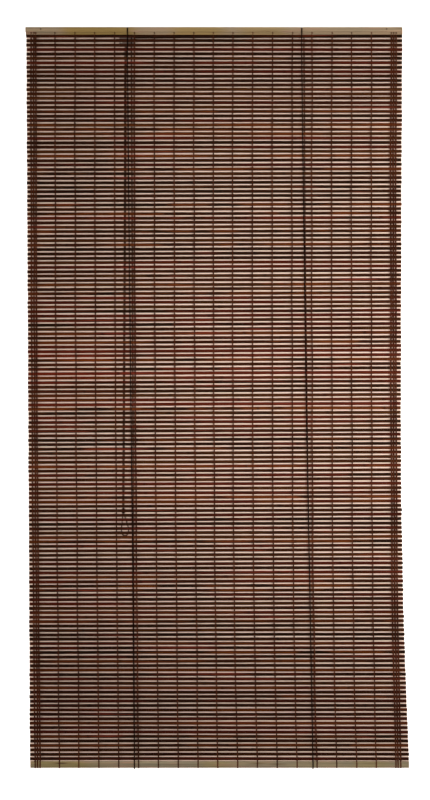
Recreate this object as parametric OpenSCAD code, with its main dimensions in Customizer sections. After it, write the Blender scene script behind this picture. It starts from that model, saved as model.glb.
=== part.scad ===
// Roll-up blind of split bamboo: a clamped header, a mat of slats held by
// twined threads, two lift cords with a cord lock, and a looped pull cord.
// Origin: midway between the two wall-screw holes, on the wall face of the
// header. +Z up, +X to the right as seen from the room, the room is at -Y.

/* [Header] */
// Length of the header
header_w = 900; // [880:5:1000]
// Height of the front batten
fascia_h = 11.5; // [11:0.5:12]
// Thickness of the front batten
fascia_t = 8; // [6:0.5:9]
// Height of the back rail
rail_h = 18; // [17:0.5:18]
// Distance between the wall-screw holes
hole_gap = 826; // [800:2:850]
// Diameter of the wall-screw holes
hole_d = 3.5; // [3:0.5:4.5]

/* [Mat] */
// Length of a slat
slat_w = 900; // [890:1:902]
// Height of a slat
slat_h = 7; // [6:0.2:7.2]
// Thickness of a slat and of the two laths
slat_t = 3; // [2.4:0.2:3]
// Distance from slat to slat
pitch = 10.6; // [10.4:0.1:10.8]
// Bevel on the edges of a slat
slat_bevel = 0.7; // [0.3:0.1:1]
// How far the mat stands to the right of the header's middle
mat_x = 1.4; // [0:0.1:2]
// How far the lowest part of the mat leans to the right
lean_x = 11; // [0:1:14]
// Height of the top lath
top_lath_h = 15; // [14:0.5:15]
// Height of the bottom lath
bottom_lath_h = 15.5; // [14:0.5:18]
// Length of the bottom lath
bottom_lath_w = 905; // [890:1:908]

/* [Threads] */
// Thickness of a thread
thread_d = 1.4; // [1:0.1:1.4]
// Distance between the threads in the middle of the mat
thread_gap = 47.4; // [46:0.1:48]
// Distance between the three threads at the left edge
left_gap = 5.3; // [4:0.1:6]
// Distance between the three threads at the right edge
right_gap = 6; // [4:0.1:6.4]
// Distance from the middle thread to the middle thread of the left edge
left_x = 430.5; // [425:0.5:433]
// Distance from the middle thread to the middle thread of the right edge
right_x = 431.8; // [425:0.1:433]
// Middle thread, from the middle of the header
thread_x = -1.5; // [-3:0.5:3]

/* [Cords] */
// Thickness of the cords
cord_d = 2.5; // [2:0.1:2.5]
// Lowest point of the pull cord's loop
pull_z = -1212; // [-1400:2:-1000]

/* [Cord lock] */
// Radius of the grooved wheel
wheel_r = 6; // [5.6:0.1:6]
// Radius at the bottom of the groove
groove_r = 3.6; // [3.2:0.1:3.6]
// Width of the grooved wheel
wheel_w = 8.2; // [7.6:0.1:8.4]
// How far the toothed cam's face stands out from its pin
cam_r = 7.2; // [6:0.1:7.3]

/* [Hidden] */
$fn = 48;

pale = [0.66, 0.56, 0.40];
bamboo = [0.24, 0.10, 0.05];
twine = [0.16, 0.08, 0.04];
black_cord = [0.07, 0.04, 0.03];
lock_metal = [0.46, 0.37, 0.30];
dark_plastic = [0.10, 0.10, 0.10];
steel = [0.62, 0.62, 0.62];

slats_in_group = 4;
groups = 41;
last_slat = 163;              // the slat just under the top lath is number 0
mat_y = -20;                  // middle plane of the mat
top_z = 4.75;                 // top of the header
lath_z = -12;                 // lower edge of the top lath
slat0_z = -15.7;              // middle of slat 0
fascia_back = mat_y - 3.05;
rail_t = 16.9;
slat_r = slat_t / 2;
thread_off = 2.3;             // threads run this far before and behind the middle plane
low_z = slat0_z - last_slat * pitch - slat_h / 2 - 2.6;  // top of the bottom lath
end_z = low_z - bottom_lath_h;                           // bottom of the bottom lath
cord_r = cord_d / 2;
cord_y = -6.7;                // the cords run in this plane behind the mat
back_y = -15.6;               // back runs of the lift cords
front_y = -24.9;              // front runs of the lift cords
face_y = fascia_back - fascia_t - 1.4;
over_z = top_z - cord_r - 0.05; // the cords cross the header in grooves
turn_r = 4.95;                // radius of the cord's middle round the grooved wheel
eye_c = [206, -16.5];         // middle of the screw eye
eye_wire = 0.75;
lock_c = [-203.55, -23.2];    // middle of the lock's wheel
cam_c = [-221, -29];          // pin of the cam
left_bore = -212;
right_bore = 211;
left_top = -206;              // where the cords cross the batten's face
right_top = 210.1;
frame_top = top_z - rail_h - 0.05;
plate_t = 1.75;
cheek_t = 1.5;
cheek_front = -12.7;
cheek_back = -0.7;
anchor_y = -14.5;             // the back runs go up through the rail here
anchor_x = [-197, 216];
screw_x = [-222.5, -193.5];

function slat_z(i) = slat0_z - i * pitch;
function part_down(z) = min(1, max(0, (slat0_z - z) / (slat0_z - end_z)));
// how far the slats' left ends, their right ends and the threads stand to the right at a height
function hang_left(z) = mat_x + lean_x * 0.8 * part_down(z);
function hang_right(z) = let (t = part_down(z), s = max(0, 2 * t - 1))
  mat_x + lean_x * (1.55 * s * s - 0.27 * sin(180 * t));
function drift(x, z) = let (t = part_down(z), s = max(0, (t - 0.35) / 0.65), u = min(1, max(0, (x + 50) / 100)))
  lean_x * ((1 - u) * (0.13 + 0.93 * t * t) + u * (1.07 * pow(s, 3) - 0.09 * sin(min(180, 360 * t))));

// ---- a tube along points [x, y, z, radius] ----
function unit(v) = v / norm(v);
function xyz(p) = [p[0], p[1], p[2]];
function heading(p, i) =
  i == 0 ? unit(xyz(p[1]) - xyz(p[0])) :
  i == len(p) - 1 ? unit(xyz(p[i]) - xyz(p[i - 1])) :
  unit(unit(xyz(p[i]) - xyz(p[i - 1])) + unit(xyz(p[i + 1]) - xyz(p[i])));
function across(v, t) = unit(v - (v * t) * t);
function sides(p, start) = [
  for (i = 0, u = across(start, heading(p, 0)); i < len(p);
       i = i + 1, u = i < len(p) ? across(u, heading(p, i)) : u) u];
function ring(c, t, u, r, n) = let (v = cross(t, u))
  [for (k = [0 : n - 1]) c + r * (cos(360 * k / n) * u + sin(360 * k / n) * v)];
module tube(p, start, n = 8) {
  u = sides(p, start);
  m = len(p);
  points = [for (i = [0 : m - 1]) each ring(xyz(p[i]), heading(p, i), u[i], p[i][3], n)];
  skin = [for (i = [0 : m - 2]) for (k = [0 : n - 1]) let (a = i * n + k, b = i * n + (k + 1) % n)
    each [[a, a + n, b + n], [a, b + n, b]]];
  caps = [for (k = [1 : n - 2]) each [[0, k, k + 1], [(m - 1) * n, (m - 1) * n + k + 1, (m - 1) * n + k]]];
  polyhedron(points, concat(skin, caps), convexity = 8);
}
// a closed ring of tube; its points never run along X
module loop_tube(p, r, n = 8) {
  m = len(p);
  function way(i) = unit(unit(p[i] - p[(i + m - 1) % m]) + unit(p[(i + 1) % m] - p[i]));
  points = [for (i = [0 : m - 1]) each ring(p[i], way(i), across([1, 0, 0], way(i)), r, n)];
  skin = [for (i = [0 : m - 1]) for (k = [0 : n - 1])
    let (j = (i + 1) % m, a = i * n + k, b = i * n + (k + 1) % n, c = j * n + k, d = j * n + (k + 1) % n)
    each [[a, c, d], [a, d, b]]];
  polyhedron(points, skin, convexity = 8);
}
function at(points, r) = [for (q = points) [q[0], q[1], q[2], r]];
function bend(c, r, a0, a1, steps) =
  [for (i = [0 : steps]) let (a = a0 + (a1 - a0) * i / steps) [c[0] + r * cos(a), cord_y, c[1] + r * sin(a)]];

// ---- routes of the cords, from end to end ----
// a knot on the rail's top, then down through the rail
function anchor(x) = [
  [x, anchor_y, top_z + 2.6, 0.5], [x, anchor_y, top_z + 2.2, 1.6], [x, anchor_y, top_z + 1.4, 2.2],
  [x, anchor_y, top_z + 0.55, 1.9], [x, anchor_y, top_z + 0.15, cord_r]];
function from_anchor(x) = [
  [x, anchor_y, -13.4], [x, -14.7, -16.5], [x, back_y, -21.6]];
function under_lath(x) = [
  [x, back_y, end_z + 2.4], [x, -16.9, end_z - 0.9], [x, mat_y - 0.25, end_z - 2.2],
  [x, -23.6, end_z - 0.9], [x, front_y, end_z + 2.4]];
// where the cord stands sideways between the batten's face and its bore
function slant(x, bore, y) = x + (bore - x) * (y - face_y) / (cord_y - 1.4 - face_y);
function over_header(x, bore) = [
  [x, front_y, -60], [x, -26, -34], [x, face_y + 0.9, -12], [x, face_y, -8],
  [x, face_y, over_z - 1.4], [slant(x, bore, face_y + 0.41), face_y + 0.41, over_z - 0.41],
  [slant(x, bore, face_y + 1.4), face_y + 1.4, over_z], [bore, cord_y - 1.4, over_z],
  [bore, cord_y - 0.41, over_z - 0.41], [bore, cord_y, over_z - 1.4]];

left_route = concat(anchor(anchor_x[0]), at(concat(from_anchor(anchor_x[0]),
  [[-195, back_y, -500], [-192.5, back_y, -1150]],
  under_lath(-189.5),
  [[-193.4, front_y, -1300], [-198.4, front_y, -850], [-202.9, front_y, -400]],
  over_header(left_top, left_bore),
  [[left_bore, cord_y, -36]]), cord_r));

right_route = concat(anchor(anchor_x[1]), at(concat(from_anchor(anchor_x[1]),
  [[219, back_y, -500], [226.5, back_y, -1150]],
  under_lath(237.5),
  [[229.2, front_y, -1300], [220.2, front_y, -850], [214.5, front_y, -400]],
  over_header(right_top, right_bore),
  bend([right_bore - 3.6, eye_c[1] + 3.6], 3.6, 0, -90, 4),
  bend(lock_c, turn_r, 90, 180, 4),
  [[lock_c[0] - turn_r, cord_y, -36]]), cord_r));

pull_route = at([
  [left_bore, cord_y, -36], [left_bore, cord_y, -42], [-213, cord_y, -80],
  [-214, cord_y, -400], [-216, cord_y, -800], [-218, cord_y, -1130], [-218, cord_y, -1158],
  [-218.2, cord_y, pull_z + 46], [-219.6, cord_y, pull_z + 34], [-220.8, cord_y, pull_z + 22],
  [-221, cord_y, pull_z + 9.5], [-219.9, cord_y, pull_z + 5.4], [-216.9, cord_y, pull_z + 2.35],
  [-212.75, cord_y, pull_z + 1.25], [-208.6, cord_y, pull_z + 2.35], [-205.6, cord_y, pull_z + 5.4],
  [-204.5, cord_y, pull_z + 9.5], [-205.2, cord_y, pull_z + 22], [-208.5, cord_y, pull_z + 34],
  [-212.8, cord_y, pull_z + 46],
  [-215.2, cord_y, -1158], [-215.2, cord_y, -1130], [-213.2, cord_y, -800], [-211.3, cord_y, -400],
  [-210.3, cord_y, -80], [-208.5, cord_y, -42], [-208.5, cord_y, -36]], cord_r);

// ---- shapes used more than once ----
// a strip along X with bevelled edges; the middle of its section is at y, z
module strip(w, t, h, bevel, x, y, z) {
  translate([x, y, z]) rotate([90, 0, 90]) linear_extrude(w, center = true)
    polygon([[-t / 2 + bevel, -h / 2], [t / 2 - bevel, -h / 2], [t / 2, -h / 2 + bevel], [t / 2, h / 2 - bevel],
             [t / 2 - bevel, h / 2], [-t / 2 + bevel, h / 2], [-t / 2, h / 2 - bevel], [-t / 2, -h / 2 + bevel]]);
}
module slat(i) {
  a = hang_left(slat_z(i));
  b = hang_right(slat_z(i));
  strip(slat_w + b - a, slat_t, slat_h, slat_bevel, (a + b) / 2, mat_y, slat_z(i));
}
module slat_group(k) {
  for (i = [slats_in_group * (k - 1) + 1 : min(slats_in_group * k, last_slat)]) slat(i);
}
module rod_y(r, x, z, y0, y1) translate([x, y1, z]) rotate([90, 0, 0]) cylinder(r = r, h = y1 - y0);
module wall_holes() for (s = [-1, 1]) rod_y(hole_d / 2, s * hole_gap / 2, 0, -60, 10);
module grooved_wheel(c) {
  w = wheel_w / 2;
  translate([c[0], cord_y, c[1]]) rotate([90, 0, 0]) rotate_extrude()
    polygon([[1.55, -w], [wheel_r, -w], [wheel_r, -2.6], [groove_r, -1.4], [groove_r, 1.4], [wheel_r, 2.6], [wheel_r, w], [1.55, w]]);
}
module pin(c) {
  rod_y(1.5, c[0], c[1], cheek_front - 0.5, cheek_back + 0.4);
  rod_y(2.3, c[0], c[1], cheek_front - 0.6, cheek_front - 0.02);
  rod_y(2.3, c[0], c[1], cheek_back + 0.02, cheek_back + 0.5);
}
// a channel open below: top plate from x0 to x1, cheeks from c0 to c1 down to z
module channel(x0, x1, c0, c1, z) {
  translate([x0, cheek_front, frame_top - plate_t]) cube([x1 - x0, cheek_back - cheek_front, plate_t]);
  for (y = [cheek_front, cheek_back - cheek_t])
    translate([c0, y, z]) cube([c1 - c0, cheek_t, frame_top - z]);
}
// the groove that takes a cord across the header to its bore
module cord_groove(x, bore)
  translate([bore, cord_y - 1.4, over_z - cord_r - 0.1]) rotate([0, 0, atan2(x - bore, cord_y - 1.4 - face_y)])
    translate([-1.7, -40, 0]) cube([3.4, 40, 20]);
module cord_grooves() {
  cord_groove(left_top, left_bore);
  cord_groove(right_top, right_bore);
}
module plate_holes() {
  translate([left_bore, cord_y, frame_top - 4]) cylinder(r = 2.4, h = 8);
  for (x = screw_x) translate([x, cord_y, frame_top - 4]) cylinder(r = 1.6, h = 8);
}

// ---- sub-parts ----
module header_rail() color(pale) difference() {
  translate([-header_w / 2, -rail_t, top_z - rail_h]) cube([header_w, rail_t, rail_h]);
  wall_holes();
  for (x = [left_bore, right_bore]) translate([x, cord_y, -40]) cylinder(r = 2.2, h = 80);
  for (x = anchor_x) translate([x, anchor_y, -40]) cylinder(r = 1.45, h = 80, $fn = 24);
  for (x = screw_x) translate([x, cord_y, -40]) cylinder(r = 1.4, h = 36.5);
  translate([eye_c[0], cord_y, -40]) cylinder(r = 0.95, h = 34, $fn = 24);
  cord_grooves();
}
module front_fascia() color(pale) difference() {
  strip(header_w, fascia_t, fascia_h, 0.8, 0, fascia_back - fascia_t / 2, top_z - fascia_h / 2);
  wall_holes();
  cord_grooves();
}
module top_lath() color(pale) difference() {
  strip(slat_w, slat_t, top_lath_h, 0.6, mat_x, mat_y, lath_z + top_lath_h / 2);
  wall_holes();
  cord_grooves();
}
module top_slat() color(bamboo) slat(0);
module slats_01() color(bamboo) slat_group(1);
module slats_02() color(bamboo) slat_group(2);
module slats_03() color(bamboo) slat_group(3);
module slats_04() color(bamboo) slat_group(4);
module slats_05() color(bamboo) slat_group(5);
module slats_06() color(bamboo) slat_group(6);
module slats_07() color(bamboo) slat_group(7);
module slats_08() color(bamboo) slat_group(8);
module slats_09() color(bamboo) slat_group(9);
module slats_10() color(bamboo) slat_group(10);
module slats_11() color(bamboo) slat_group(11);
module slats_12() color(bamboo) slat_group(12);
module slats_13() color(bamboo) slat_group(13);
module slats_14() color(bamboo) slat_group(14);
module slats_15() color(bamboo) slat_group(15);
module slats_16() color(bamboo) slat_group(16);
module slats_17() color(bamboo) slat_group(17);
module slats_18() color(bamboo) slat_group(18);
module slats_19() color(bamboo) slat_group(19);
module slats_20() color(bamboo) slat_group(20);
module slats_21() color(bamboo) slat_group(21);
module slats_22() color(bamboo) slat_group(22);
module slats_23() color(bamboo) slat_group(23);
module slats_24() color(bamboo) slat_group(24);
module slats_25() color(bamboo) slat_group(25);
module slats_26() color(bamboo) slat_group(26);
module slats_27() color(bamboo) slat_group(27);
module slats_28() color(bamboo) slat_group(28);
module slats_29() color(bamboo) slat_group(29);
module slats_30() color(bamboo) slat_group(30);
module slats_31() color(bamboo) slat_group(31);
module slats_32() color(bamboo) slat_group(32);
module slats_33() color(bamboo) slat_group(33);
module slats_34() color(bamboo) slat_group(34);
module slats_35() color(bamboo) slat_group(35);
module slats_36() color(bamboo) slat_group(36);
module slats_37() color(bamboo) slat_group(37);
module slats_38() color(bamboo) slat_group(38);
module slats_39() color(bamboo) slat_group(39);
module slats_40() color(bamboo) slat_group(40);
module slats_41() color(bamboo) slat_group(41);
module bottom_lath() color(pale)
  strip(bottom_lath_w, slat_t, bottom_lath_h, 0.6, (hang_left(end_z) + hang_right(end_z)) / 2, mat_y, low_z - bottom_lath_h / 2);

// every thread is one closed ring round the mat, from the top lath to the bottom lath
thread_rows = concat([for (k = [-8 : 8]) thread_x + k * thread_gap],
  [for (k = [-1 : 1]) thread_x - left_x + k * left_gap], [for (k = [-1 : 1]) thread_x + right_x + k * right_gap]);
bend_z = [for (t = [0.25, 0.5, 0.66, 0.8, 0.92]) slat0_z + (end_z - slat0_z) * t];
module warp_threads() color(twine) for (x = thread_rows) {
  hi = lath_z + top_lath_h;
  front = mat_y - thread_off;
  back = mat_y + thread_off;
  top_x = x + drift(x, hi);
  end_x = x + drift(x, end_z);
  loop_tube(concat(
    [[top_x, front, hi + 0.2]], [for (z = bend_z) [x + drift(x, z), front, z]],
    [[end_x, front, end_z - 0.2], [end_x, mat_y - 1.7, end_z - 0.8],
     [end_x, mat_y + 1.7, end_z - 0.8], [end_x, back, end_z - 0.2]],
    [for (i = [len(bend_z) - 1 : -1 : 0]) [x + drift(x, bend_z[i]), back, bend_z[i]]],
    [[top_x, back, hi + 0.2], [top_x, mat_y + 1.7, hi + 0.8], [top_x, mat_y - 1.7, hi + 0.8]]), thread_d / 2);
}

module lift_cord_left() color(black_cord) tube(left_route, [1, 0, 0]);
module lift_cord_right() color(black_cord) tube(right_route, [1, 0, 0]);
module pull_cord() color(black_cord) tube(pull_route, [0, 1, 0]);
module pull_knot() color(black_cord) translate([-216.6, cord_y, -1151]) scale([1, 0.82, 1.3])
  rotate_extrude() difference() {
    translate([0, 0]) circle(r = 4.2);
    translate([-10, -10]) square([10, 20]);
  }

module lock_body() color(lock_metal) difference() {
  channel(-226, -190, -226, -190, -38.5);
  plate_holes();
  for (c = [lock_c, cam_c]) rod_y(1.52, c[0], c[1], -20, 5);
}
module lock_wheel() color(dark_plastic) grooved_wheel(lock_c);
// the cam's face moves away from its pin towards the lower end, and has teeth
module lock_cam() color(lock_metal) difference() {
  translate([cam_c[0], cord_y + wheel_w / 2, cam_c[1]]) rotate([90, 0, 0]) linear_extrude(wheel_w)
    polygon(concat(
      [for (i = [0 : 20]) let (a = -60 + 6.75 * i, r = cam_r - a * 0.035 - (i % 2) * 0.5) r * [cos(a), sin(a)]],
      [for (a = [100 : 20 : 260]) 4.2 * [cos(a), sin(a)]]));
  rod_y(1.55, cam_c[0], cam_c[1], -20, 5);
}
module lock_pins() color(steel) for (c = [lock_c, cam_c]) pin(c);

// an eye of bent wire with a shank in the rail; the right cord turns through it
module guide_eye() color(steel) {
  translate([eye_c[0], cord_y, eye_c[1]]) rotate([0, 90, 0]) rotate_extrude($fn = 28)
    translate([3.2 - eye_wire, 0]) circle(r = eye_wire, $fn = 10);
  translate([eye_c[0], cord_y, eye_c[1] + 2.1]) cylinder(r = 0.9, h = 7.6, $fn = 20);
}

module lock_screws() color(steel) for (x = screw_x) translate([x, cord_y, frame_top - plate_t]) difference() {
  union() {
    translate([0, 0, -0.3]) cylinder(r = 1.35, h = 11.3);
    translate([0, 0, -1.65]) cylinder(r1 = 2.1, r2 = 2.5, h = 1.6);
  }
  translate([-3, -0.35, -2.2]) cube([6, 0.7, 1.2]);
}

header_rail();
front_fascia();
top_lath();
top_slat();
slats_01();
slats_02();
slats_03();
slats_04();
slats_05();
slats_06();
slats_07();
slats_08();
slats_09();
slats_10();
slats_11();
slats_12();
slats_13();
slats_14();
slats_15();
slats_16();
slats_17();
slats_18();
slats_19();
slats_20();
slats_21();
slats_22();
slats_23();
slats_24();
slats_25();
slats_26();
slats_27();
slats_28();
slats_29();
slats_30();
slats_31();
slats_32();
slats_33();
slats_34();
slats_35();
slats_36();
slats_37();
slats_38();
slats_39();
slats_40();
slats_41();
bottom_lath();
warp_threads();
lift_cord_left();
lift_cord_right();
pull_cord();
pull_knot();
lock_body();
lock_wheel();
lock_cam();
lock_pins();
guide_eye();
lock_screws();
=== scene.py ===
import math

import bpy
import numpy as np
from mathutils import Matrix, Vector


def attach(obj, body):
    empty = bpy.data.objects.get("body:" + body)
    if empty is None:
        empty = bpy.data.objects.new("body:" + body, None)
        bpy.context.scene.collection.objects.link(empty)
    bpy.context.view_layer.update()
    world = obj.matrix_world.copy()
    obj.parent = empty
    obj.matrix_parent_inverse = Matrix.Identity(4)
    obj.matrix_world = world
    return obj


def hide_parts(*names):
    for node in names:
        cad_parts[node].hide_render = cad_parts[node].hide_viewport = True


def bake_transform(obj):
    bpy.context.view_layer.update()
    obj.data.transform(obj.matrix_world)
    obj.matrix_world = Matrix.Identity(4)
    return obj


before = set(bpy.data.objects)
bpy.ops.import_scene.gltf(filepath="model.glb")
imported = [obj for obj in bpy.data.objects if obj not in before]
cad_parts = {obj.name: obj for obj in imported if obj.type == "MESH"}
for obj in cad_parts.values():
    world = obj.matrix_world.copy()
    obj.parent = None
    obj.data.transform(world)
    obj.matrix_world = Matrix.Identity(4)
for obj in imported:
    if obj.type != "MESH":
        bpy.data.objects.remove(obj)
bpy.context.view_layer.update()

scene = bpy.context.scene
rng = np.random.default_rng(20)
MM = 0.001

# ------------------------------------------------------------------ camera
# 430 x 800 frame; 2.39 mm of the blind's front plane to a pixel
PX = 2.39 * MM
CAM_Y = -6.0
camera = bpy.data.objects.new("camera", bpy.data.cameras.new("camera"))
scene.collection.objects.link(camera)
camera.location = (3.1 * MM, CAM_Y, -885.7 * MM)
camera.rotation_euler = (math.radians(90), 0, 0)
camera.data.sensor_fit = "AUTO"
camera.data.sensor_width = 36.0
camera.data.lens = 36.0 * (abs(CAM_Y) - 0.024) / (800 * PX)
camera.data.clip_start, camera.data.clip_end = 0.05, 60
scene.camera = camera

# ------------------------------------------------------------------ sizes, in mm, as in the CAD source
MAT_Y = -20.0
PITCH, SLAT_H, SLAT_T, SLAT_W = 10.6, 7.0, 3.0, 900.0
SLAT0_Z, LAST = -15.7, 163
LOW_Z = SLAT0_Z - LAST * PITCH - SLAT_H / 2 - 2.6
END_Z = LOW_Z - 15.5
GROUPS = 41
CORD_R = 1.25
TOP_Z = 4.75
MAT_X, LEAN = 1.4, 11.0
CORD_Y, BACK_Y, FRONT_Y = -6.7, -15.6, -24.9


def slat_z(i):
    return SLAT0_Z - i * PITCH


def hinge_z(k):
    return -21.0 - 42.4 * (k - 1) if k <= GROUPS else -1748.2


def mid_z(k):
    """Middle of group k, where neighbouring cord pieces meet."""
    return (hinge_z(k) + hinge_z(k + 1)) / 2


def part_down(z):
    return np.clip((SLAT0_Z - np.asarray(z, float)) / (SLAT0_Z - END_Z), 0, 1)


def hang_left(z):
    return MAT_X + LEAN * 0.8 * part_down(z)


def hang_right(z):
    t = part_down(z)
    return MAT_X + LEAN * (1.55 * np.maximum(0, 2 * t - 1) ** 2 - 0.27 * np.sin(math.pi * t))


def drift(x, z):
    """How far a thread stands to the right at that height."""
    t = part_down(z)
    u = min(1.0, max(0.0, (x + 50) / 100))
    one = 0.13 + 0.93 * t * t
    two = 1.07 * np.maximum(0, (t - 0.35) / 0.65) ** 3 - 0.09 * np.sin(np.minimum(math.pi, 2 * math.pi * t))
    return LEAN * ((1 - u) * one + u * two)


def tilt(x, z):
    """The rows hang a little lower at the left, most at half height."""
    return 2.0 * np.asarray(x, float) / 447 * np.sin(math.pi * np.clip((part_down(z) - 0.05) / 0.9, 0, 1))


def body_name(k):
    return "header" if k < 1 else "mat_bottom" if k > GROUPS else "mat_%02d" % k


# ------------------------------------------------------------------ materials
def srgb(r, g, b):
    return tuple((c / 255 / 12.92) if c / 255 <= 0.04045 else ((c / 255 + 0.055) / 1.055) ** 2.4 for c in (r, g, b))


def shade(colour, by):
    return tuple(c * by for c in colour)


class Nodes:
    """A material's tree with short calls for the nodes used here."""

    def __init__(self, name):
        self.mat = bpy.data.materials.new(name)
        self.mat.use_nodes = True
        self.nt = self.mat.node_tree
        self.nt.nodes.clear()
        self.out = self.nt.nodes.new("ShaderNodeOutputMaterial")
        self.bsdf = self.nt.nodes.new("ShaderNodeBsdfPrincipled")
        self.link(self.bsdf.outputs[0], self.out.inputs["Surface"])
        self.coords = self.nt.nodes.new("ShaderNodeTexCoord").outputs["Object"]

    def link(self, a, b):
        self.nt.links.new(a, b)

    def put(self, socket, value):
        if isinstance(value, bpy.types.NodeSocket):
            self.link(value, socket)
        elif isinstance(value, tuple) and len(value) == 3 and socket.type == "RGBA":
            socket.default_value = (*value, 1)
        else:
            socket.default_value = value

    def attribute(self, name):
        n = self.nt.nodes.new("ShaderNodeAttribute")
        n.attribute_name = name
        return n

    def split(self, colour):
        n = self.nt.nodes.new("ShaderNodeSeparateColor")
        self.put(n.inputs[0], colour)
        return n.outputs

    def vector(self, op, a, b):
        n = self.nt.nodes.new("ShaderNodeVectorMath")
        n.operation = op
        self.put(n.inputs[0], a)
        self.put(n.inputs[1], b)
        return n.outputs["Value"] if op in ("DISTANCE", "DOT_PRODUCT") else n.outputs["Vector"]

    def along_x(self, value):
        n = self.nt.nodes.new("ShaderNodeCombineXYZ")
        self.put(n.inputs[0], value)
        return n.outputs[0]

    def math(self, op, a, b=0.0, c=0.0):
        n = self.nt.nodes.new("ShaderNodeMath")
        n.operation = op
        self.put(n.inputs[0], a)
        self.put(n.inputs[1], b)
        self.put(n.inputs[2], c)
        return n.outputs[0]

    def noise(self, vector, scale, detail=3.0, rough=0.5, distort=0.0):
        n = self.nt.nodes.new("ShaderNodeTexNoise")
        self.put(n.inputs["Vector"], self.vector("MULTIPLY", vector, scale))
        n.inputs["Scale"].default_value = 1.0
        n.inputs["Detail"].default_value = detail
        n.inputs["Roughness"].default_value = rough
        n.inputs["Distortion"].default_value = distort
        return n.outputs["Fac"]

    def cells(self, vector, scale):
        n = self.nt.nodes.new("ShaderNodeTexVoronoi")
        self.put(n.inputs["Vector"], self.vector("MULTIPLY", vector, scale))
        n.inputs["Scale"].default_value = 1.0
        return n.outputs["Distance"]

    def bands(self, vector, scale, distort=0.0, axis="X"):
        n = self.nt.nodes.new("ShaderNodeTexWave")
        n.wave_type, n.bands_direction = "BANDS", axis
        self.put(n.inputs["Vector"], vector)
        n.inputs["Scale"].default_value = scale
        n.inputs["Distortion"].default_value = distort
        return n.outputs["Fac"]

    def fit(self, value, lo, hi, to_lo=0.0, to_hi=1.0, smooth=False):
        n = self.nt.nodes.new("ShaderNodeMapRange")
        n.interpolation_type = "SMOOTHSTEP" if smooth else "LINEAR"
        for socket, v in zip(n.inputs, (value, lo, hi, to_lo, to_hi)):
            self.put(socket, v)
        return n.outputs[0]

    def mix(self, a, b, by, kind="MIX"):
        n = self.nt.nodes.new("ShaderNodeMix")
        n.data_type, n.blend_type = "RGBA", kind
        self.put(n.inputs[0], by)
        self.put(n.inputs[6], a)
        self.put(n.inputs[7], b)
        return n.outputs[2]

    def times(self, colour, value):
        n = self.nt.nodes.new("ShaderNodeVectorMath")
        n.operation = "SCALE"
        self.put(n.inputs[0], colour)
        self.put(n.inputs["Scale"], value)
        return n.outputs["Vector"]

    def bump(self, height, distance, strength=0.5):
        n = self.nt.nodes.new("ShaderNodeBump")
        n.inputs["Strength"].default_value = strength
        n.inputs["Distance"].default_value = distance
        self.link(height, n.inputs["Height"])
        self.link(n.outputs[0], self.bsdf.inputs["Normal"])

    def done(self, colour, rough, specular=0.3, metallic=0.0):
        self.put(self.bsdf.inputs["Base Color"], colour)
        self.put(self.bsdf.inputs["Roughness"], rough)
        self.bsdf.inputs["Specular IOR Level"].default_value = specular
        self.bsdf.inputs["Metallic"].default_value = metallic
        return self.mat


LIT = 0.74  # display-linear colour to surface colour, under this scene's light


def make_bamboo():
    n = Nodes("stained_bamboo")
    a, b = n.attribute("tone_a").outputs["Color"], n.attribute("tone_b").outputs["Color"]
    own = n.split(n.attribute("grain").outputs["Color"])
    p = n.vector("ADD", n.coords, n.along_x(n.math("MULTIPLY", own[1], 23.0)))
    cloud = n.fit(n.noise(p, (7.5, 60, 60), 3, 0.6), 0.42, 0.58, smooth=True)
    flare = n.fit(n.noise(n.vector("ADD", p, (7.3, 2.1, 0.4)), (4.5, 40, 90), 3, 0.55), 0.6, 0.74, smooth=True)
    streak = n.noise(p, (11, 420, 420), 4, 0.65)
    fibre = n.noise(p, (30, 2300, 2300), 3, 0.6)
    c = n.mix(a, b, cloud)
    c = n.mix(c, shade(srgb(118, 44, 30), LIT), n.math("MULTIPLY", flare, 0.6))
    c = n.times(c, n.fit(streak, 0.3, 0.7, 0.62, 1.42))
    c = n.times(c, n.fit(fibre, 0.3, 0.7, 0.84, 1.16))
    c = n.times(c, n.math("MULTIPLY_ADD", own[0], -0.62, 1.0))
    n.bump(n.math("ADD", n.math("MULTIPLY", fibre, 0.6), streak), 0.00025, 0.45)
    return n.done(c, n.fit(streak, 0.3, 0.7, 0.66, 0.46), 0.025)


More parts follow.
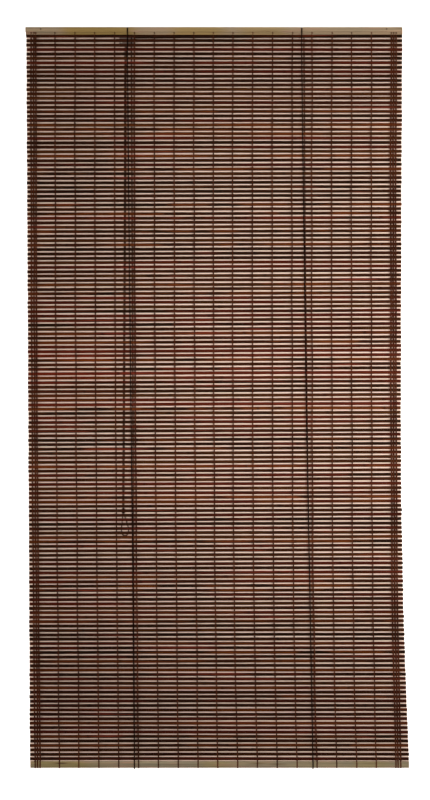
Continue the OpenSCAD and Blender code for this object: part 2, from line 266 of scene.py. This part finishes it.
def make_pale_wood(name, base, grey, yellow, patches, light=1.0, shade_z=None):
    """Pale knotty wood; patches are (from x, to x, amount) of a yellower tone, in metres."""
    n = Nodes(name)
    xyz = n.nt.nodes.new("ShaderNodeSeparateXYZ")
    n.link(n.coords, xyz.inputs[0])
    grain = n.noise(n.coords, (2.6, 120, 300), 5, 0.62, 0.35)
    lines = n.noise(n.coords, (5.0, 520, 900), 3, 0.55)
    pores = n.noise(n.coords, (60, 1600, 2600), 2, 0.5)
    patch = n.noise(n.coords, (9.3, 12, 90), 3, 0.55)
    patch2 = n.noise(n.vector("ADD", n.coords, (3.7, 1.1, 5.2)), (14, 22, 160), 3, 0.55)
    lit = LIT * light
    c = n.mix(shade(srgb(*base), lit), shade(srgb(*grey), lit), n.fit(patch, 0.42, 0.62, smooth=True))
    c = n.mix(c, shade(srgb(168, 130, 104), lit), n.fit(patch2, 0.5, 0.68, 0.0, 0.7, smooth=True))
    wavy = n.math("MULTIPLY_ADD", patch2, 0.06, xyz.outputs[0])
    for x0, x1, amount in patches:
        inside = n.math("MULTIPLY", n.fit(wavy, x0, x0 + 0.045, smooth=True), n.fit(wavy, x1 + 0.06, x1 + 0.015, smooth=True))
        c = n.mix(c, shade(srgb(*yellow), lit), n.math("MULTIPLY", inside, amount))
    c = n.times(c, n.fit(grain, 0.3, 0.7, 0.74, 1.24))
    c = n.times(c, n.fit(lines, 0.3, 0.7, 0.84, 1.14))
    c = n.times(c, n.fit(pores, 0.3, 0.7, 0.94, 1.05))
    if shade_z:
        c = n.times(c, n.fit(xyz.outputs[2], *shade_z))
    spot = n.cells(n.coords, (7.0, 28.0, 62.0))
    knot = n.fit(spot, 0.05, 0.125, 1.0, 0.0, smooth=True)
    halo = n.fit(spot, 0.1, 0.24, 1.0, 0.0, smooth=True)
    c = n.mix(c, shade(srgb(122, 92, 58), lit), n.math("MULTIPLY", halo, 0.45))
    c = n.mix(c, shade(srgb(72, 46, 27), lit), n.math("MULTIPLY", knot, 0.8))
    n.bump(n.math("ADD", grain, n.math("MULTIPLY", lines, 0.6)), 0.0003, 0.4)
    return n.done(c, n.fit(lines, 0.3, 0.7, 0.72, 0.56), 0.12)


def make_thread():
    n = Nodes("twine")
    ply = n.noise(n.coords, (900, 900, 520), 3, 0.6)
    tone = n.noise(n.coords, (14, 14, 9), 2, 0.5)
    c = n.mix(shade(srgb(62, 28, 14), LIT), shade(srgb(90, 44, 23), LIT), n.fit(tone, 0.35, 0.65, smooth=True))
    c = n.times(c, n.fit(ply, 0.3, 0.7, 0.65, 1.35))
    n.bump(ply, 0.0003, 0.7)
    return n.done(c, n.fit(ply, 0.3, 0.7, 0.95, 0.78), 0.03)


def make_cord():
    n = Nodes("black_cord")
    own = n.split(n.attribute("strand").outputs["Color"])
    fuzz = n.noise(n.coords, (1500, 1500, 1000), 3, 0.6)
    tone = n.noise(n.coords, (30, 30, 12), 2, 0.5)
    c = n.mix(shade(srgb(26, 12, 6), LIT), shade(srgb(44, 23, 12), LIT), n.fit(tone, 0.35, 0.65, smooth=True))
    # painted shade in the grooves between the strands and painted light on their crests
    c = n.times(c, n.fit(own[0], 0.0, 1.0, 0.45, 1.15))
    c = n.times(c, n.fit(fuzz, 0.3, 0.7, 0.7, 1.3))
    n.bump(fuzz, 0.0002, 0.6)
    return n.done(c, n.fit(fuzz, 0.3, 0.7, 0.92, 0.72), 0.03)


def make_metal():
    n = Nodes("bronze_painted_metal")
    orange = n.noise(n.coords, (700, 700, 700), 2, 0.5)
    wear = n.fit(n.noise(n.coords, (160, 160, 160), 4, 0.7), 0.6, 0.72, smooth=True)
    c = n.mix(srgb(100, 78, 64), srgb(70, 52, 42), n.math("MULTIPLY", wear, 0.6))
    n.bump(orange, 0.0001, 0.35)
    return n.done(c, n.fit(orange, 0.3, 0.7, 0.56, 0.4), 0.3)


def make_plastic():
    n = Nodes("dark_moulded_plastic")
    grain = n.noise(n.coords, (1800, 1800, 1800), 2, 0.5)
    rub = n.noise(n.coords, (240, 240, 240), 3, 0.6)
    c = n.mix(shade(srgb(38, 36, 34), LIT), shade(srgb(70, 67, 63), LIT), n.fit(rub, 0.4, 0.7, smooth=True))
    n.bump(grain, 0.00008, 0.4)
    return n.done(c, n.fit(rub, 0.3, 0.7, 0.62, 0.44), 0.35)


def make_steel():
    n = Nodes("zinc_plated_steel")
    brush = n.noise(n.coords, (2600, 500, 2600), 3, 0.6)
    spangle = n.noise(n.coords, (420, 420, 420), 2, 0.5)
    c = n.mix(srgb(118, 108, 96), srgb(150, 140, 126), n.fit(spangle, 0.35, 0.65, smooth=True))
    n.bump(brush, 0.00006, 0.4)
    return n.done(c, n.fit(brush, 0.3, 0.7, 0.46, 0.3), 0.5, 1.0)


BAMBOO, TWINE, CORD = make_bamboo(), make_thread(), make_cord()
PALE = make_pale_wood("pale_wood", (158, 134, 104), (150, 130, 102), (152, 124, 68), [(-0.35, -0.2, 0.95), (-0.09, 0.01, 0.75), (0.07, 0.16, 0.5)], 1.1)
LATH = make_pale_wood("pale_wood_lath", (150, 133, 102), (142, 129, 104), (150, 131, 78), [(-0.42, -0.31, 0.7), (-0.03, 0.03, 0.4), (0.34, 0.41, 0.5)], 0.9, (-1.765, -1.75, 0.86, 1.16))
METAL, PLASTIC, STEEL = make_metal(), make_plastic(), make_steel()


# ------------------------------------------------------------------ meshes
class Build:
    """Collects parts of one piece, in mm."""

    def __init__(self):
        self.v, self.f, self.c, self.n = [], [], {}, 0

    def add(self, verts, faces, **colours):
        verts = np.asarray(verts, float).reshape(-1, 3)
        self.v.append(verts)
        self.f += [tuple(i + self.n for i in f) for f in faces]
        for k, c in colours.items():
            self.c.setdefault(k, []).append(np.broadcast_to(np.asarray(c, float), (len(verts), 4)))
        self.n += len(verts)

    def piece(self, name, mat, smooth_angle=50):
        mesh = bpy.data.meshes.new(name)
        mesh.from_pydata((np.concatenate(self.v) * MM).tolist(), [], self.f)
        for k, c in self.c.items():
            a = mesh.color_attributes.new(k, "FLOAT_COLOR", "POINT")
            a.data.foreach_set("color", np.concatenate(c).astype(np.float32).ravel())
        mesh.polygons.foreach_set("use_smooth", np.ones(len(mesh.polygons), bool))
        mesh.update()
        if smooth_angle < 180:
            mesh.set_sharp_from_angle(angle=math.radians(smooth_angle))
        o = bpy.data.objects.new(name, mesh)
        scene.collection.objects.link(o)
        mesh.materials.append(mat)
        return o


def skin(rings, sides, closed=False):
    """Faces of a tube of that many rings, with flat ends."""
    faces = []
    for i in range(rings - 1):
        for k in range(sides):
            a, b = i * sides + k, i * sides + (k + 1) % sides
            faces.append((a, b, b + sides, a + sides))
    if not closed:
        faces.append(tuple(range(sides - 1, -1, -1)))
        faces.append(tuple((rings - 1) * sides + k for k in range(sides)))
    return faces


def resample(points, step):
    """The polyline's points again at even steps, with corners rounded a little by the steps."""
    p = np.asarray(points, float)
    d = np.concatenate([[0], np.cumsum(np.linalg.norm(np.diff(p, axis=0), axis=1))])
    n = max(2, int(round(d[-1] / step)) + 1)
    s = np.linspace(0, d[-1], n)
    return np.stack([np.interp(s, d, p[:, i]) for i in range(3)], 1), s


def catmull(points, per=8):
    """A smooth line through the points."""
    p = np.asarray(points, float)
    q = np.concatenate([[2 * p[0] - p[1]], p, [2 * p[-1] - p[-2]]])
    out = []
    for i in range(1, len(q) - 2):
        p0, p1, p2, p3 = q[i - 1], q[i], q[i + 1], q[i + 2]
        t0 = 0.0
        t1 = t0 + max(1e-9, np.linalg.norm(p1 - p0)) ** 0.5
        t2 = t1 + max(1e-9, np.linalg.norm(p2 - p1)) ** 0.5
        t3 = t2 + max(1e-9, np.linalg.norm(p3 - p2)) ** 0.5
        for t in np.linspace(t1, t2, per, endpoint=False):
            a1 = (t1 - t) / (t1 - t0) * p0 + (t - t0) / (t1 - t0) * p1
            a2 = (t2 - t) / (t2 - t1) * p1 + (t - t1) / (t2 - t1) * p2
            a3 = (t3 - t) / (t3 - t2) * p2 + (t - t2) / (t3 - t2) * p3
            b1 = (t2 - t) / (t2 - t0) * a1 + (t - t0) / (t2 - t0) * a2
            b2 = (t3 - t) / (t3 - t1) * a2 + (t - t1) / (t3 - t1) * a3
            out.append((t2 - t) / (t2 - t1) * b1 + (t - t1) / (t2 - t1) * b2)
    out.append(p[-1])
    return np.array(out)


def frames(p):
    """Headings and two cross directions along a line, carried without twist."""
    t = np.gradient(p, axis=0)
    t /= np.linalg.norm(t, axis=1)[:, None]
    u = np.zeros_like(p)
    x = np.array([1.0, 0, 0]) if abs(t[0][0]) < 0.8 else np.array([0, 1.0, 0])
    for i in range(len(p)):
        x = x - (x @ t[i]) * t[i]
        x /= np.linalg.norm(x)
        u[i] = x
    return t, u, np.cross(t, u)


LAY = 14.0  # a strand's length for one turn round the cord


class Rope:
    """A laid cord of three strands: rings of points that turn with the lay."""

    SIDES = 9
    FORM = np.array([1.09, 1.0, 0.84] * 3)

    def __init__(self, points, r=CORD_R, step=1.75):
        self.p, self.s = resample(points, step)
        t, u, w = frames(self.p)
        r = np.broadcast_to(np.asarray(r, float), (len(self.p),)) if np.ndim(r) == 0 else np.interp(self.s, r[0], r[1])
        th = (np.arange(self.SIDES) * 2 * math.pi / self.SIDES)[None, :] + (2 * math.pi * self.s / LAY)[:, None]
        rr = r[:, None] * self.FORM[None, :]
        self.rings = (
            self.p[:, None, :]
            + (rr * np.cos(th))[..., None] * u[:, None, :]
            + (rr * np.sin(th))[..., None] * w[:, None, :]
        )

    def into(self, build, i0=0, i1=None):
        part = self.rings[i0 : len(self.p) if i1 is None else i1]
        # painted shade and light: the strand colour is 0 in the grooves between the strands and 1 on their crests, so
        # the cord is painted darker in the grooves and lighter on the crests
        deep = np.clip((self.FORM - 0.84) / 0.25, 0, 1)
        c = np.ones((len(part), self.SIDES, 4))
        c[..., 0] = deep[None, :]
        build.add(part, skin(len(part), self.SIDES), strand=c.reshape(-1, 4))


# ------------------------------------------------------------------ the free cord, before anything else
def at_y(points, y):
    return [(x, y, z) for x, z in points]


PULL = at_y(
    [(-212, -36), (-212, -42), (-213, -80), (-214, -400), (-216, -800), (-218, -1130), (-218, -1158), (-218.2, -1166),
     (-219.6, -1178), (-220.8, -1190), (-221, -1202.5), (-219.9, -1206.6), (-216.9, -1209.65), (-212.75, -1210.75),
     (-208.6, -1209.65), (-205.6, -1206.6), (-204.5, -1202.5), (-205.2, -1190), (-208.5, -1178), (-212.8, -1166),
     (-215.2, -1158), (-215.2, -1130), (-213.2, -800), (-211.3, -400), (-210.3, -80), (-208.5, -42), (-208.5, -36)],
    CORD_Y,
)
pull_rope = Rope(catmull(PULL, 10))
b = Build()
pull_rope.into(b)
pull_cord = b.piece("pull_cord_rope", CORD, 180)
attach(pull_cord, "header")
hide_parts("pull_cord")

# the knot: the doubled cord wound round itself three times, with one turn tucked across
b = Build()
turn = np.linspace(0, 1, 90)
a = turn * 2 * math.pi * 3.2
wrap = np.stack([-216.6 + 3.55 * np.cos(a), CORD_Y + 2.55 * np.sin(a), -1147.0 - 8.4 * turn], 1)
Rope(wrap, 1.15, 1.0).into(b)
tuck = catmull([(-213.6, -8.6, -1147.0), (-214.6, -10.2, -1149.2), (-216.6, -10.6, -1151.2), (-218.8, -10.1, -1153.4), (-219.8, -8.4, -1155.6)], 10)
Rope(tuck, 1.1, 1.0).into(b)
pull_knot = b.piece("pull_cord_knot", CORD, 180)
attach(pull_knot, "header")
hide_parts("pull_knot")

# ------------------------------------------------------------------ lift cords
def arc(c, r, a0, a1, steps=8):
    return [
        (c[0] + r * math.cos(math.radians(a)), CORD_Y, c[1] + r * math.sin(math.radians(a)))
        for a in np.linspace(a0, a1, steps + 1)
    ]


def over_header(x, bore):
    face, over = -32.45, TOP_Z - CORD_R - 0.05

    def slant(y):
        return x + (bore - x) * (y - face) / (CORD_Y - 1.4 - face)

    return [
        (x, FRONT_Y, -60), (x, -26, -34), (x, face + 0.9, -12), (x, face, -8), (x, face, over - 1.4),
        (slant(face + 0.41), face + 0.41, over - 0.41), (slant(face + 1.4), face + 1.4, over), (bore, CORD_Y - 1.4, over),
        (bore, CORD_Y - 0.41, over - 0.41), (bore, CORD_Y, over - 1.4),
    ]


def under_lath(x):
    return [
        (x, BACK_Y, END_Z + 2.4), (x, -16.9, END_Z - 0.9), (x, MAT_Y - 0.25, END_Z - 2.2), (x, -23.6, END_Z - 0.9),
        (x, FRONT_Y, END_Z + 2.4),
    ]


EYE_C, LOCK_C, TURN_R, ANCHOR_Y = (206.0, -16.5), (-203.55, -23.2), 4.95, -14.5
RUN_R, FACE_R = 1.5, 1.75
SIDES = {
    "left": dict(
        anchor=-197.0, back=[(-195, BACK_Y, -500), (-192.5, BACK_Y, -1150)], low=-189.5,
        front=[(-193.4, FRONT_Y, -1300), (-198.4, FRONT_Y, -850), (-202.9, FRONT_Y, -400)], top=(-206, -212),
        end=[(-212, CORD_Y, -36)],
    ),
    "right": dict(
        anchor=216.0, back=[(219, BACK_Y, -500), (226.5, BACK_Y, -1150)], low=237.5,
        front=[(229.2, FRONT_Y, -1300), (220.2, FRONT_Y, -850), (214.5, FRONT_Y, -400)], top=(210.1, 211),
        end=arc((211 - 3.6, EYE_C[1] + 3.6), 3.6, 0, -90) + arc(LOCK_C, TURN_R, 90, 180) + [(-208.5, CORD_Y, -36)],
    ),
}
runs = [Build() for _ in range(GROUPS + 2)]  # runs[k] crosses hinge k
for side, q in SIDES.items():
    x = q["anchor"]
    start = [(x, ANCHOR_Y, -13.4), (x, -14.7, -16.5), (x, BACK_Y, -21.6)]
    over = over_header(*q["top"])
    # on the header: from the knot on its top to the back run, and from the front run over the header to the pull cord
    head = Build()
    turn = np.linspace(0, 1, 60)
    a = turn * 2 * math.pi * 1.9
    Rope(np.stack([x + 1.2 * np.cos(a), ANCHOR_Y + 1.2 * np.sin(a), TOP_Z + 0.95 + 0.75 * turn], 1), 0.9, 0.7).into(head)
    Rope([(x + 0.2, ANCHOR_Y - 0.5, TOP_Z + 2.5), (x, ANCHOR_Y, TOP_Z + 1.2), (x, ANCHOR_Y, TOP_Z)] + start, CORD_R, 0.9).into(head)
    first = [(q["top"][0], -32.25, -10.0)] + [(a, b - 0.3, c) for a, b, c in over[3:5]] + over[5:] + q["end"]
    Rope(first, (np.array([0, 3, 10, 14, 9999.0]), np.array([RUN_R, FACE_R, FACE_R, CORD_R, CORD_R])), 0.8).into(head)
    o = head.piece("lift_cord_%s_head" % side, CORD, 180)
    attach(o, "header")
    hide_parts("lift_cord_%s" % side)
    # on the mat: down the back, under the lath and up the front
    line = [start[-1]] + q["back"] + under_lath(q["low"]) + q["front"] + over[:3] + [(q["top"][0], -32.25, -10.0)]
    rope = Rope(line, RUN_R)
    z = rope.p[:, 2]
    owner = np.full(len(z), GROUPS + 1)
    for k in range(GROUPS, 0, -1):
        owner[z > mid_z(k)] = k
    i0 = 0
    for i in range(1, len(z) + 1):
        if i == len(z) or owner[i] != owner[i0]:
            rope.into(runs[owner[i0]], i0, min(i + 1, len(z)))
            i0 = i
for k in range(1, GROUPS + 2):
    o = runs[k].piece("lift_cords_%02d" % k, CORD, 180)
    h = hinge_z(k)
    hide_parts("lift_cord_left", "lift_cord_right")
    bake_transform(o)

# ------------------------------------------------------------------ slats
TONES = [
    (0.34, (56, 25, 12)),
    (0.22, (78, 27, 17)),
    (0.14, (98, 47, 21)),
    (0.17, (42, 20, 8)),
    (0.13, (70, 37, 17)),
]
SHARE = np.array([t[0] for t in TONES])
SHARE = SHARE / SHARE.sum()


def tone(light):
    c = np.array(srgb(*TONES[rng.choice(len(TONES), p=SHARE)][1]))
    return c * (1.0, 0.93, 0.6) * LIT * light * rng.uniform(0.82, 1.2)


def near(v, lo, hi, soft):
    return np.clip((v - lo) / soft + 0.5, 0, 1) * np.clip((hi - v) / soft + 0.5, 0, 1)


def slat(build, i):
    """One split-bamboo slat: a flat strip with a rounded skin side, a little bowed, with the ridges of its joints."""
    z0 = slat_z(i)
    left = float(hang_left(z0)) - SLAT_W / 2 + rng.uniform(-0.4, 1.4)
    right = float(hang_right(z0)) + SLAT_W / 2 + rng.uniform(-1.4, 0.4)
    h, t = SLAT_H * rng.uniform(1.0, 1.06), SLAT_T * rng.uniform(0.93, 1.0)
    c = 0.75
    crown = rng.uniform(0.1, 0.22)
    form = np.array(
        [(-t / 2 + c * 0.8, -h / 2), (-t / 2, -h / 2 + c), (-t / 2 - crown, 0), (-t / 2, h / 2 - c), (-t / 2 + c * 0.8, h / 2),
         (t / 2 - c * 0.6, h / 2), (t / 2, h / 2 - c * 0.6), (t / 2, -h / 2 + c * 0.6), (t / 2 - c * 0.6, -h / 2)]
    )
    xs = list(np.linspace(left, right, 33))
    joints, x = [], left - rng.uniform(60, 330)
    while x < right - 20:
        x += rng.uniform(270, 430)
        if left + 15 < x < right - 15:
            joints.append(x)
    for j in joints:
        xs += [j + d for d in (-9, -4, -1.6, 0, 1.6, 4, 9)]
    xs = np.array(sorted(xs))
    keep = np.concatenate([[True], np.diff(xs) > 0.5])
    xs = xs[keep]
    ridge = np.zeros(len(xs))
    for j in joints:
        ridge = np.maximum(ridge, np.clip(1 - np.abs(xs - j) / 5.0, 0, 1))
    u = xs / 1000
    bow_z = 0.3 * np.sin(2 * math.pi * u / rng.uniform(0.7, 1.4) + rng.uniform(0, 6.3)) + rng.uniform(-0.3, 0.3) * u
    bow_y = 0.12 * np.sin(2 * math.pi * u / rng.uniform(0.5, 1.1) + rng.uniform(0, 6.3))
    v = np.zeros((len(xs), len(form), 3))
    v[..., 0] = xs[:, None]
    v[..., 1] = MAT_Y + bow_y[:, None] + form[None, :, 0] * (1 + 0.14 * ridge[:, None])
    v[..., 2] = z0 + (bow_z + tilt(xs, z0))[:, None] + form[None, :, 1] * (1 + 0.035 * ridge[:, None])
    # some rows are paler, and at half height the left third is redder
    light = 0.74 + 0.2 * near(z0, -950, -775, 60) + 0.16 * near(z0, -1110, -1030, 50) + 0.16 * near(z0, -480, -440, 25)
    # painted light and shade: the top rows are painted lighter and the lower part of the blind darker
    light *= 1 + 0.15 * near(z0, -230, 50, 150) - 0.25 * near(z0, -2000, -1440, 300)
    red = near(z0, -890, -765, 25) * near(xs, -460, -225, 90)
    a, b2 = (tone(light) * (1 + red[:, None] * np.array([0.5, 0.25, 0.15])) for _ in range(2))
    a, b2 = (np.repeat(np.concatenate([c, np.ones((len(xs), 1))], 1), len(form), 0) for c in (a, b2))
    grain = np.ones((len(xs), len(form), 4))
    grain[..., 0] = ridge[:, None] * rng.uniform(0.25, 1.0)
    grain[..., 1] = rng.uniform(0, 1)
    grain[..., 2] = 0
    build.add(v, skin(len(xs), len(form)), tone_a=a, tone_b=b2, grain=grain.reshape(-1, 4))


b = Build()
slat(b, 0)
o = b.piece("slat_top", BAMBOO, 40)
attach(o, "header")
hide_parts("top_slat")
for k in range(1, GROUPS + 1):
    b = Build()
    for i in range(4 * (k - 1) + 1, min(4 * k, LAST) + 1):
        slat(b, i)
    o = b.piece("slat_group_%02d" % k, BAMBOO, 40)
    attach(o, body_name(k))
    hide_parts("slats_%02d" % k)

# ------------------------------------------------------------------ warp threads: two strands twined round every slat
THREAD_R, OUT = 0.66, 2.3
# middle, half the width of a strand, half the distance between its two strands
WARPS = [(-1.5 + 47.4 * k, 0.98, 0.68) for k in range(-8, 9)] + [(-1.5 + x, 1.2, 0.8) for x in (-436.8, -430.5, -425.2, 425.8, 431.8, 437.8)]


def twine(build, p, wide, sides=6):
    p = np.asarray(p, float)
    t, u, w = frames(p)
    th = np.arange(sides) * 2 * math.pi / sides
    wide, deep = np.reshape(wide, (-1, 1, 1)) * np.cos(th)[None, :, None], THREAD_R * np.sin(th)[None, :, None]
    rings = p[:, None, :] + wide * u[:, None, :] + deep * w[:, None, :]
    build.add(rings, skin(len(p), sides))


def strand(x, apart, wander, z, turn):
    phase = math.pi * (SLAT0_Z - z) / PITCH + turn
    k = 2.3
    y = MAT_Y - OUT * np.tanh(k * np.cos(phase)) / math.tanh(k)
    at = x + drift(x, z) + wander(z) + apart * np.sin(phase)
    return np.stack([at, y, z + tilt(at, z)], 1)


def wander_of():
    a, p, q = rng.uniform(0.2, 0.8), rng.uniform(0, 6.3), rng.uniform(250, 600)
    return lambda z: a * np.sin(np.asarray(z) / q * 2 * math.pi + p)


wander = [wander_of() for _ in WARPS]
hands = [rng.choice([0.0, math.pi]) for _ in WARPS]


def span(z0, z1, per=6):
    n = max(2, int(round((z0 - z1) / PITCH * per)) + 1)
    return np.linspace(z0, z1, n)


def over_lath(x, s, sign):
    """Round the top lath's upper edge and down to the strand's first point."""
    hi = 3.0
    return [(x, MAT_Y, hi + THREAD_R + 0.3), (x, MAT_Y + sign * 1.5, hi + 0.4), (x, MAT_Y + sign * OUT, hi - 0.9),
            (x, MAT_Y + sign * OUT, -2), (x, MAT_Y + sign * OUT, -7.6), (x + 0.5 * (s[0] - x), MAT_Y + sign * 1.6, -9.4)]


def round_lath(x, s, sign, h):
    """From the strand's last point down round the bottom lath's lower edge."""
    return [(x + 0.6 * (s[0] - x), MAT_Y + sign * 1.5, h - 1.3), (x, MAT_Y + sign * OUT, h - 3.4), (x, MAT_Y + sign * OUT, h - 10),
            (x, MAT_Y + sign * OUT, END_Z + 0.8), (x, MAT_Y + sign * 1.4, END_Z - 0.5), (x, MAT_Y, END_Z - THREAD_R - 0.2)]


# each piece runs from the middle of one group of slats to the middle of the next, across the hinge between them
cross = SLAT0_Z + PITCH / 2
for k in range(1, GROUPS + 2):
    b = Build()
    h = hinge_z(k)
    z0 = cross if k == 1 else mid_z(k - 1)
    z1 = h if k > GROUPS else mid_z(k)
    z = span(z0, z1)
    for (x, wide, apart), w, hnd in zip(WARPS, wander, hands):
        for turn in (hnd, hnd + math.pi):
            s = strand(x, apart, w, z, turn)
            half = np.full(len(s), wide)
            if k == 1:
                sign = -1 if math.cos(math.pi * (SLAT0_Z - (cross + 1)) / PITCH + turn) > 0 else 1
                s = np.concatenate([over_lath(float(x + drift(x, cross) + w(cross)), s[0], sign), s])
                half = np.concatenate([np.full(6, wide + 0.55), half])
            if k > GROUPS:
                sign = -1 if math.cos(math.pi * (SLAT0_Z - (h - 2)) / PITCH + turn) > 0 else 1
                s = np.concatenate([s, round_lath(float(x + drift(x, h) + w(h)), s[-1], sign, h)])
                half = np.concatenate([half, np.full(6, wide + 0.55)])
            twine(b, s, half)
    o = b.piece("warp_threads_%02d" % k, TWINE, 180)
    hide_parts("warp_threads")
    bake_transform(o)

# ------------------------------------------------------------------ carried-over CAD nodes
for names, mat in (
    (("header_rail", "front_fascia", "top_lath"), PALE),
    (("bottom_lath",), LATH),
    (("lock_body", "lock_cam"), METAL),
    (("lock_wheel",), PLASTIC),
    (("lock_pins", "guide_eye", "lock_screws"), STEEL),
):
    for name in names:
        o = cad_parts[name]
        if not o.material_slots:
            o.data.materials.append(mat)
        for s in o.material_slots:
            s.material = mat

# ------------------------------------------------------------------ stage and light
def flat(name, corners, mat):
    mesh = bpy.data.meshes.new(name)
    mesh.from_pydata(corners, [], [(0, 1, 2, 3)])
    mesh.materials.append(mat)
    o = bpy.data.objects.new(name, mesh)
    scene.collection.objects.link(o)
    return o


def stage_paint(name, colour):
    m = bpy.data.materials.new(name)
    m.use_nodes = True
    nt = m.node_tree
    nt.nodes.clear()
    out = nt.nodes.new("ShaderNodeOutputMaterial")
    d = nt.nodes.new("ShaderNodeBsdfDiffuse")
    d.inputs[0].default_value = (*colour, 1)
    nt.links.new(d.outputs[0], out.inputs[0])
    return m


def wall_paint_and_blind_shadow(colour, behind):
    """White and brightly lit round the blind; behind it a beige painted shadow of the blind; clear from the back."""
    n = Nodes("wall_paint_and_blind_shadow")
    xyz = n.nt.nodes.new("ShaderNodeSeparateXYZ")
    n.link(n.coords, xyz.inputs[0])
    x, z = xyz.outputs[0], xyz.outputs[2]
    # left, right and inside trace the blind's outline on the wall, where the wall carries the blind's painted shadow
    left = n.fit(z, -1.77, 0.0, -0.4416, -0.4506)
    right = n.math("ADD", n.fit(z, -0.016, -0.89, 0.4531, 0.4501), n.math("ADD", n.fit(z, -1.1, -1.4, 0.0, 0.0055), n.fit(z, -1.4, -1.765, 0.0, 0.0145)))
    inside = n.math("MULTIPLY", n.fit(n.math("SUBTRACT", x, left), -0.001, 0.002), n.fit(n.math("SUBTRACT", right, x), -0.001, 0.002))
    inside = n.math("MULTIPLY", inside, n.math("MULTIPLY", n.fit(z, 0.012, 0.006), n.fit(z, -1.773, -1.767)))
    n.nt.nodes.remove(n.bsdf)
    d, e, both = (n.nt.nodes.new(k) for k in ("ShaderNodeBsdfDiffuse", "ShaderNodeEmission", "ShaderNodeAddShader"))
    # painted shadow: beige inside the blind's outline, and no glow there
    n.put(d.inputs[0], n.mix(colour, behind, inside))
    n.put(e.inputs[0], (1.0, 1.0, 1.0))
    n.put(e.inputs[1], n.math("SUBTRACT", 1.0, inside))
    n.link(d.outputs[0], both.inputs[0])
    n.link(e.outputs[0], both.inputs[1])
    t, g, m = (n.nt.nodes.new(k) for k in ("ShaderNodeBsdfTransparent", "ShaderNodeNewGeometry", "ShaderNodeMixShader"))
    n.link(g.outputs["Backfacing"], m.inputs[0])
    n.link(both.outputs[0], m.inputs[1])
    n.link(t.outputs[0], m.inputs[2])
    n.link(m.outputs[0], n.out.inputs["Surface"])
    return n.mat


FLOOR_Z, WALL_Y = -2.15, 0.002
# the beige second colour is the blind's painted shadow on the wall
wall = flat("backdrop_wall", [(-4, WALL_Y, FLOOR_Z), (4, WALL_Y, FLOOR_Z), (4, WALL_Y, 1.6), (-4, WALL_Y, 1.6)], wall_paint_and_blind_shadow((0.9, 0.89, 0.87), (0.79, 0.585, 0.47)))
wall.visible_shadow = False  # the light behind reaches the back of the blind
flat("floor", [(-7, -9, FLOOR_Z), (7, -9, FLOOR_Z), (7, 9, FLOOR_Z), (-7, 9, FLOOR_Z)], stage_paint("floor_paint", (0.8, 0.79, 0.77)))


def area(name, place, target, size, power, colour=(1, 1, 1)):
    light = bpy.data.lights.new(name, "AREA")
    light.shape, light.size, light.size_y = "RECTANGLE", size[0], size[1]
    light.energy, light.color = power, colour
    o = bpy.data.objects.new(name, light)
    scene.collection.objects.link(o)
    o.location = place
    o.rotation_euler = (Vector(target) - Vector(place)).to_track_quat("-Z", "Y").to_euler()
    o.visible_camera = False
    return o


MID = (0, 0, -0.88)
area("fill", (-1.5, -6.0, -0.886), MID, (1.6, 0.6), 130)
beam = bpy.data.lights.new("key", "SPOT")
beam.energy, beam.shadow_soft_size = 1400, 0.5
beam.spot_size, beam.spot_blend = math.radians(22.0), 1.0
key = bpy.data.objects.new("key", beam)
scene.collection.objects.link(key)
key.location = (0.9, -6.0, -0.886)
key.rotation_euler = (Vector((0.5, 0, -0.8)) - key.location).to_track_quat("-Z", "Y").to_euler()
key.visible_camera = False
area("behind", (0.6, 4.6, 1.2), MID, (4.0, 3.0), 110)

world = bpy.data.worlds.new("studio")
scene.world = world
world.use_nodes = True
world.node_tree.nodes["Background"].inputs[0].default_value = (1.0, 0.99, 0.98, 1)
world.node_tree.nodes["Background"].inputs[1].default_value = 0.4

scene.view_settings.view_transform = "Standard"
scene.view_settings.look = "None"
scene.view_settings.exposure = 0.0
scene.view_settings.gamma = 1.0
